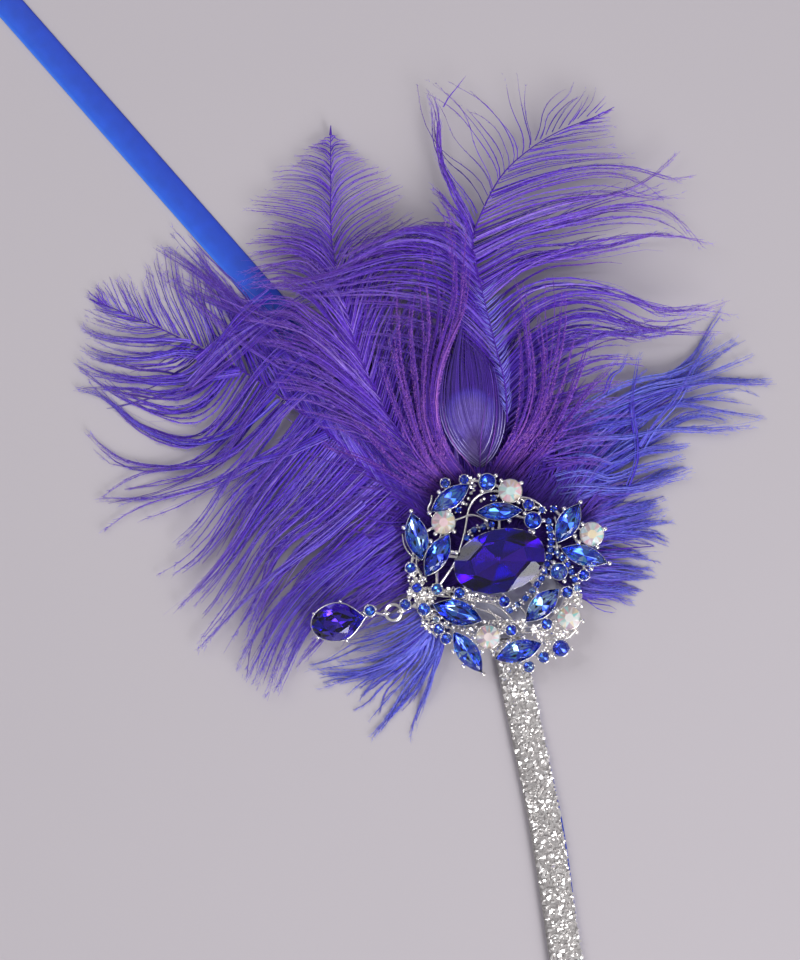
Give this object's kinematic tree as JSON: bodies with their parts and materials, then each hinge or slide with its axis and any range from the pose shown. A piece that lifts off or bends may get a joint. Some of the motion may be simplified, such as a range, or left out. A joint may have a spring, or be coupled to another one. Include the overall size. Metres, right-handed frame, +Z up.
{
  "type": "feathered headband",
  "caption": "Flapper headband lying flat: satin ribbon, crystal band, openwork stone brooch with a hanging drop, dyed ostrich plumes and a peacock eye feather.",
  "frame": {"origin": "under the middle of the brooch, on the ribbon's underside, which is the surface that the headband lies on", "axes": "+Z up out of the surface, +Y away from the crystal band, towards the plumes, +X to the right seen from above"},
  "size_m": [0.2585, 0.3268, 0.0171],
  "materials": {
    "silver": "bright cast silver colour",
    "sapphire": "foil-backed cut glass, deep blue",
    "iridescent": "pearly iridescent cut glass",
    "satin": "royal blue satin",
    "crystal_chips": "silver-backed crystal chips on a cloth strip",
    "pad_cloth": "grey cloth",
    "ostrich": "soft dyed ostrich barbs, blue-violet",
    "peacock": "dyed peacock barbs, violet and magenta"
  },
  "bodies": {
    "root": {"base_pad": "pad_cloth", "big_oval_stone": "sapphire", "brooch_frame": "silver", "brooch_pin": "silver", "crystal_band": "crystal_chips", "drop_setting": "silver", "drop_small_round": "sapphire", "drop_stone": "sapphire", "iridescent_round_1": "iridescent", "iridescent_round_2": "iridescent", "iridescent_round_3": "iridescent", "iridescent_round_4": "iridescent", "iridescent_round_5": "iridescent", "jump_ring": "silver", "marquise_01": "sapphire", "marquise_02": "sapphire", "marquise_03": "sapphire", "marquise_04": "sapphire", "marquise_05": "sapphire", "marquise_06": "sapphire", "marquise_07": "sapphire", "marquise_08": "sapphire", "marquise_09": "sapphire", "marquise_10": "sapphire", "medium_round_1": "sapphire", "medium_round_2": "sapphire", "medium_round_3": "sapphire", "medium_round_4": "sapphire", "plume_left": "ostrich", "plume_low_left": "ostrich", "plume_low_right": "ostrich", "plume_peacock": "peacock", "plume_right": "ostrich", "plume_top_mid": "ostrich", "plume_top_right": "ostrich", "satin_ribbon": "satin", "small_round_01": "sapphire", "small_round_02": "sapphire", "small_round_03": "sapphire", "small_round_04": "sapphire", "small_round_05": "sapphire", "small_round_06": "sapphire", "small_round_07": "sapphire", "small_round_08": "sapphire", "small_round_09": "sapphire", "small_round_10": "sapphire", "small_round_11": "sapphire", "small_round_12": "sapphire", "small_round_13": "sapphire", "small_round_14": "sapphire", "small_round_15": "sapphire", "small_round_16": "sapphire", "small_round_17": "sapphire", "small_round_18": "sapphire"}
  },
  "joints": []
}
